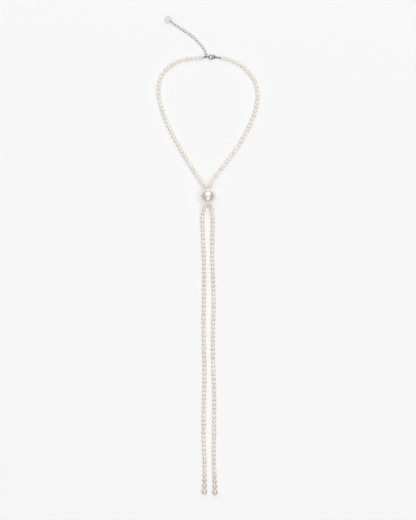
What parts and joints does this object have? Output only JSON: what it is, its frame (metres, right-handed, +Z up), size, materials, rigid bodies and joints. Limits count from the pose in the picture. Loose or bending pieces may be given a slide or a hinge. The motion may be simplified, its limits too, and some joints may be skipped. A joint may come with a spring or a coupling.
{
  "type": "lariat necklace",
  "caption": "Lariat necklace of small round pearls on two strings that run through one large sliding pearl, with graduated tail ends, lobster clasp and extender chain.",
  "frame": {"origin": "on the surface that the necklace lies on, right under the middle of the large pearl", "axes": "+Y from the large pearl to the clasp, -Y down the tails, +Z up from the surface, +X to the right in the picture"},
  "size_m": [0.1034, 0.4796, 0.0161],
  "materials": {
    "pearl": "cream pearl with a soft pearly shine",
    "large_pearl": "smooth cream pearl with a high shine",
    "thread": "twisted pale thread",
    "metal": "polished silver-coloured plating",
    "tag": "polished silver-coloured plating, left bare"
  },
  "bodies": {
    "necklace": {"neck_pearls_left": "pearl", "neck_pearls_right": "pearl", "slider_pearl": "large_pearl", "tail_pearls_left": "pearl", "tail_pearls_right": "pearl", "drop_pearl_left_1": "pearl", "drop_pearl_left_2": "pearl", "drop_pearl_left_3": "pearl", "drop_pearl_right_1": "pearl", "drop_pearl_right_2": "pearl", "drop_pearl_right_3": "pearl", "end_pearl_left": "pearl", "end_pearl_right": "pearl", "thread_left": "thread", "thread_right": "thread", "crimp_left": "metal", "crimp_right": "metal", "catch_ring": "metal", "clasp_body": "metal", "tag_ring": "metal", "tag_disc": "tag", "extender_link_01": "metal", "extender_link_02": "metal", "extender_link_03": "metal", "extender_link_04": "metal", "extender_link_05": "metal", "extender_link_06": "metal", "extender_link_07": "metal", "extender_link_08": "metal", "extender_link_09": "metal", "extender_link_10": "metal", "extender_link_11": "metal", "extender_link_12": "metal", "extender_link_13": "metal", "extender_link_14": "metal", "extender_link_15": "metal"},
    "clasp_lever": {"clasp_lever": "metal"}
  },
  "joints": [
    {"name": "lever_hinge", "type": "hinge", "parent": "necklace", "child": "clasp_lever", "pos_m": [0.00582, 0.13948, 0.00158], "axis": [0.1374, -0.0096, 0.9905], "range_deg": [0, 25], "stiffness_Nm_per_rad": 0.002, "springref_deg": -28.65}
  ]
}
